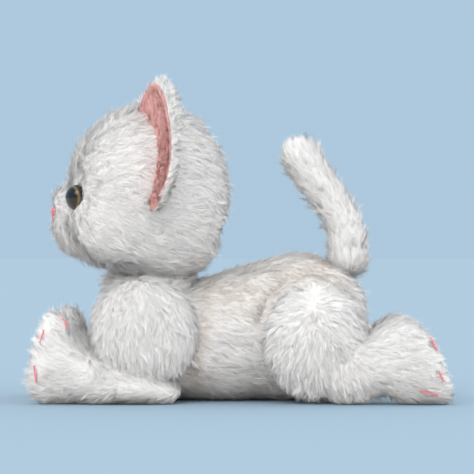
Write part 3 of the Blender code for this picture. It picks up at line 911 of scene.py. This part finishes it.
def eyes():
    """Glossy moulded eyes, set in the cloth."""
    radius = 7.9
    look = eye_material(radius)
    for word, side in SIDES.items():
        low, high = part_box("eye_" + word)
        centre = (low + high) / 2
        normal = Vector((-0.80, side * 0.60, -0.05)).normalized()
        bm = bmesh.new()
        bmesh.ops.create_uvsphere(bm, u_segments=48, v_segments=24, radius=1.0)
        bmesh.ops.scale(bm, vec=(radius * MM, radius * MM, EYE_HALF_DEPTH * MM), verts=bm.verts)
        mesh = bpy.data.meshes.new("eye_gloss_" + word)
        bm.to_mesh(mesh)
        bm.free()
        mesh.shade_smooth()
        obj = bpy.data.objects.new("eye_gloss_" + word, mesh)
        bpy.context.scene.collection.objects.link(obj)
        turn = Vector((0, 0, 1)).rotation_difference(normal).to_matrix().to_4x4()
        obj.matrix_world = Matrix.Translation(centre - normal * EYE_SINK * MM) @ turn
        bpy.context.view_layer.update()
        wear(obj, "head", look)
        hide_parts("eye_" + word)


def stitched(name, lines, radius, look):
    """Threads along lines of points, in millimetres, as one mesh of round tubes."""
    curve = bpy.data.curves.new(name, "CURVE")
    curve.dimensions = "3D"
    curve.bevel_depth = radius * MM
    curve.bevel_resolution = 3
    curve.use_fill_caps = True
    for line in lines:
        spline = curve.splines.new("POLY")
        spline.points.add(len(line) - 1)
        for p, point in zip(spline.points, line):
            p.co = (*(Vector(point) * MM), 1)
    obj = bpy.data.objects.new(name, curve)
    bpy.context.scene.collection.objects.link(obj)
    curve.materials.append(look)
    return obj


def nose(look):
    """A small nose in satin stitch: threads side by side over a pad."""
    lines = []
    for i in range(13):
        share = (i / 12 - 0.5) * 2
        y = share * 4.6
        drop = 3.0 * (1 - abs(share)) + 0.8
        line = []
        for k in range(7):
            t = k / 6
            z = NOSE.z + 2.0 - (drop + 2.0) * t
            x = NOSE.x - 1.0 + 0.09 * y * y + 1.6 * (2 * t - 1) ** 2
            line.append((x, y, z))
        lines.append(line)
    obj = stitched("nose_satin_stitch", lines, SATIN_RADIUS, look)
    wear(obj, "head")
    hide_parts("nose")
    down = [(NOSE.x - 0.6, 0, NOSE.z - 3), (NOSE.x - 0.2, 0, NOSE.z - 6), (NOSE.x + 0.6, 0, NOSE.z - 9)]
    curls = []
    for side in SIDES.values():
        curls.append([(NOSE.x + 0.6 + 0.35 * k, side * 1.5 * k, NOSE.z - 9 - 1.6 * math.sin(k * 0.75))
                      for k in range(5)])
    mouth = stitched("mouth_thread", [down] + curls, THREAD_RADIUS, look)
    wear(mouth, "head")
    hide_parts("mouth_stitch")


def laid_on(base, spots, rise):
    """Points on the outer side of a left paw, given by x and z, a little above its skin."""
    points, _ = vertex_arrays(base.data)
    tree = BVHTree.FromPolygons([Vector(p) for p in points], [p.vertices[:] for p in base.data.polygons])
    line = []
    for x, z in spots:
        hit, normal, _, _ = tree.ray_cast(Vector((x, -90, z)), Vector((0, 1, 0)))
        if hit is None:
            hit, normal, _, _ = tree.find_nearest(Vector((x, -56, z)))
        line.append(hit + normal * rise)
    return line


def toe_lines(base, kind):
    """The three toe stitches of a left paw, as lines over its pile."""
    lines = []
    for start, end in TOES[kind]:
        spots = [(start[0] + (end[0] - start[0]) * k / 4, start[1] + (end[1] - start[1]) * k / 4)
                 for k in range(5)]
        lines.append(laid_on(base, spots, THREAD_RISE))
    return lines


def toe_stitches(kind, word, lines, look):
    """Toe stitches in pink thread, which pull the pile in along three short lines."""
    mirror = 1 if word == "left" else -1
    for i, line in enumerate(lines, 1):
        placed = [(p[0], p[1] * mirror, p[2]) for p in line]
        piece = stitched(f"{kind}_toe_thread_{i}_{word}", [placed], THREAD_RADIUS, look)
        wear(piece, f"{kind}_{word}")
        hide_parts(f"{kind}_toe_stitch_{i}_{word}")


# ---- Studio ----


def studio():
    """A pale floor and backdrop, a soft sun and an even sky, and the camera."""
    bm = bmesh.new()
    bmesh.ops.create_grid(bm, x_segments=1, y_segments=1, size=6000)
    floor = object_from(bm, "floor")
    made, nodes, links, shader = new_material("backdrop_paper")
    seen = nodes.new("ShaderNodeLightPath")
    paper = nodes.new("ShaderNodeMix")
    paper.data_type = "RGBA"
    paper.inputs["A"].default_value = (0.60, 0.60, 0.60, 1)
    paper.inputs["B"].default_value = FLOOR_BLUE
    links.new(seen.outputs["Is Camera Ray"], paper.inputs["Factor"])
    links.new(paper.outputs["Result"], shader.inputs["Base Color"])
    shader.inputs["Roughness"].default_value = 1.0
    shader.inputs["Specular IOR Level"].default_value = 0.0
    floor.data.materials.append(made)
    world = bpy.data.worlds.new("sky")
    bpy.context.scene.world = world
    world.use_nodes = True
    tree = world.node_tree
    sky = tree.nodes["Background"]
    sky.inputs["Color"].default_value = (0.985, 0.992, 1.0, 1)
    sky.inputs["Strength"].default_value = SKY_STRENGTH
    paper = tree.nodes.new("ShaderNodeBackground")
    paper.inputs["Color"].default_value = BACKDROP
    paper.inputs["Strength"].default_value = 1.0
    seen = tree.nodes.new("ShaderNodeLightPath")
    choose = tree.nodes.new("ShaderNodeMixShader")
    out = tree.nodes["World Output"]
    either = tree.nodes.new("ShaderNodeMath")
    either.operation = "MAXIMUM"
    tree.links.new(seen.outputs["Is Camera Ray"], either.inputs[0])
    tree.links.new(seen.outputs["Is Glossy Ray"], either.inputs[1])
    tree.links.new(either.outputs["Value"], choose.inputs["Fac"])
    tree.links.new(sky.outputs["Background"], choose.inputs[1])
    tree.links.new(paper.outputs["Background"], choose.inputs[2])
    tree.links.new(choose.outputs["Shader"], out.inputs["Surface"])
    lamp = bpy.data.lights.new("key", "SUN")
    lamp.energy = SUN_STRENGTH
    lamp.angle = math.radians(SUN_ANGLE)
    lamp.color = (1.0, 0.985, 0.96)
    key = bpy.data.objects.new("key", lamp)
    key.rotation_euler = SUN_FROM.to_track_quat("Z", "Y").to_euler()
    bpy.context.scene.collection.objects.link(key)
    camera_data = bpy.data.cameras.new("camera")
    camera_data.sensor_width = CAMERA_SENSOR
    camera_data.lens = CAMERA_SENSOR * CAMERA_DISTANCE / CAMERA_WIDTH
    camera = bpy.data.objects.new("camera", camera_data)
    azimuth = math.radians(CAMERA_AZIMUTH)
    elevation = math.radians(CAMERA_ELEVATION)
    direction = Vector((math.sin(azimuth) * math.cos(elevation),
                        -math.cos(azimuth) * math.cos(elevation), math.sin(elevation)))
    camera.location = CAMERA_TARGET + direction * CAMERA_DISTANCE
    camera.rotation_euler = direction.to_track_quat("Z", "Y").to_euler()
    bpy.context.scene.collection.objects.link(camera)
    bpy.context.scene.camera = camera
    bpy.context.scene.view_settings.view_transform = "Standard"


def build():
    """Makes every piece and the studio."""
    studio()
    cloth = cloth_material("pile_base", (0.90, 0.88, 0.86))
    pink_cloth = cloth_material("pink_pile_base", (0.92, 0.45, 0.40))
    pile = pile_material("white_pile", 0.15)
    pink_pile = pile_material("pink_lining_pile", 0.10)
    thread = thread_material()
    head(cloth, pile)
    neck(cloth, pile)
    torso(cloth, pile)
    limbs(cloth, pile, thread)
    tail(cloth, pile)
    ears(cloth, pile, pink_cloth, pink_pile)
    eyes()
    nose(thread)


build()
